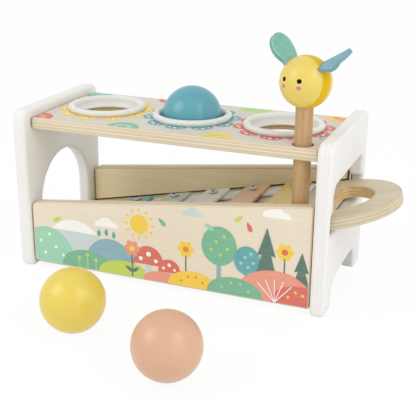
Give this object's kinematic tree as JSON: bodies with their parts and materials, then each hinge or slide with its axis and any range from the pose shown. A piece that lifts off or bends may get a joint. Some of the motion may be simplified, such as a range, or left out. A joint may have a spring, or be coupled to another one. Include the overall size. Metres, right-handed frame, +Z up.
{
  "type": "pounding xylophone",
  "caption": "Wooden pounding bench with soft ball rings over a sloping pull-out metal-bar xylophone, a mallet standing in its top board, and loose wooden balls",
  "frame": {"origin": "centre of the whole set's footprint, on the floor", "axes": "+X along the bench towards the pull-out handle, +Y from the front to the back, +Z up"},
  "size_m": [0.3198, 0.2782, 0.215],
  "materials": {
    "white_paint": "satin white paint on plywood",
    "plywood": "clear satin lacquer",
    "beech": "plain",
    "soft_plastic": "soft matte",
    "grey_felt": "felt",
    "bar_teal": "satin",
    "bar_sage": "satin",
    "bar_silver": "satin",
    "bar_rose": "satin",
    "bar_gold": "satin",
    "zinc": "zinc plated",
    "yellow_paint": "satin paint",
    "blue_paint": "satin paint",
    "peach_paint": "satin paint",
    "green_felt": "felt",
    "blue_felt": "felt"
  },
  "bodies": {
    "bench": {"left_end_panel": "white_paint", "right_end_panel": "white_paint", "top_board": "plywood", "front_panel": "plywood", "back_panel": "plywood", "ring_left": "soft_plastic", "ring_middle": "soft_plastic", "ring_right": "soft_plastic", "pin_board_left_front": "beech", "pin_board_left_back": "beech", "pin_front_left_low": "beech", "pin_front_left_high": "beech", "pin_back_left_low": "beech", "pin_back_left_high": "beech", "pin_board_right_front": "beech", "pin_board_right_back": "beech", "pin_front_right_low": "beech", "pin_front_right_high": "beech", "pin_back_right_low": "beech", "pin_back_right_high": "beech"},
    "xylophone": {"tray_board": "plywood", "felt_front": "grey_felt", "felt_back": "grey_felt", "bar_1": "bar_teal", "bar_2": "bar_sage", "bar_3": "bar_silver", "bar_4": "bar_rose", "bar_5": "bar_gold", "screw_front_1": "zinc", "screw_back_1": "zinc", "screw_front_2": "zinc", "screw_back_2": "zinc", "screw_front_3": "zinc", "screw_back_3": "zinc", "screw_front_4": "zinc", "screw_back_4": "zinc", "screw_front_5": "zinc", "screw_back_5": "zinc"},
    "mallet": {"mallet_handle": "beech", "mallet_head": "yellow_paint", "wing_left": "green_felt", "wing_right": "blue_felt"},
    "blue_ball": {"ball_blue": "blue_paint"},
    "yellow_ball": {"ball_yellow": "yellow_paint"},
    "peach_ball": {"ball_peach": "peach_paint"}
  },
  "joints": [
    {"name": "xylophone_slide", "type": "slide", "parent": "bench", "child": "xylophone", "axis": [0.9781, 0, 0.2079], "range_m": [0, 0.27]},
    {"name": "mallet_lift", "type": "slide", "parent": "bench", "child": "mallet", "axis": [0, 0, 1], "range_m": [0, 0.1]},
    {"name": "blue_ball_press", "type": "slide", "parent": "bench", "child": "blue_ball", "axis": [0, 0, 1], "range_m": [-0.0528, 0.06], "deforming": ["ring_middle"]},
    {"name": "yellow_ball_roll", "type": "slide", "parent": "bench", "child": "yellow_ball", "axis": [0, 1, 0], "range_m": [-0.05, 0.06]},
    {"name": "peach_ball_roll", "type": "slide", "parent": "bench", "child": "peach_ball", "axis": [0, 1, 0], "range_m": [-0.05, 0.09]}
  ]
}
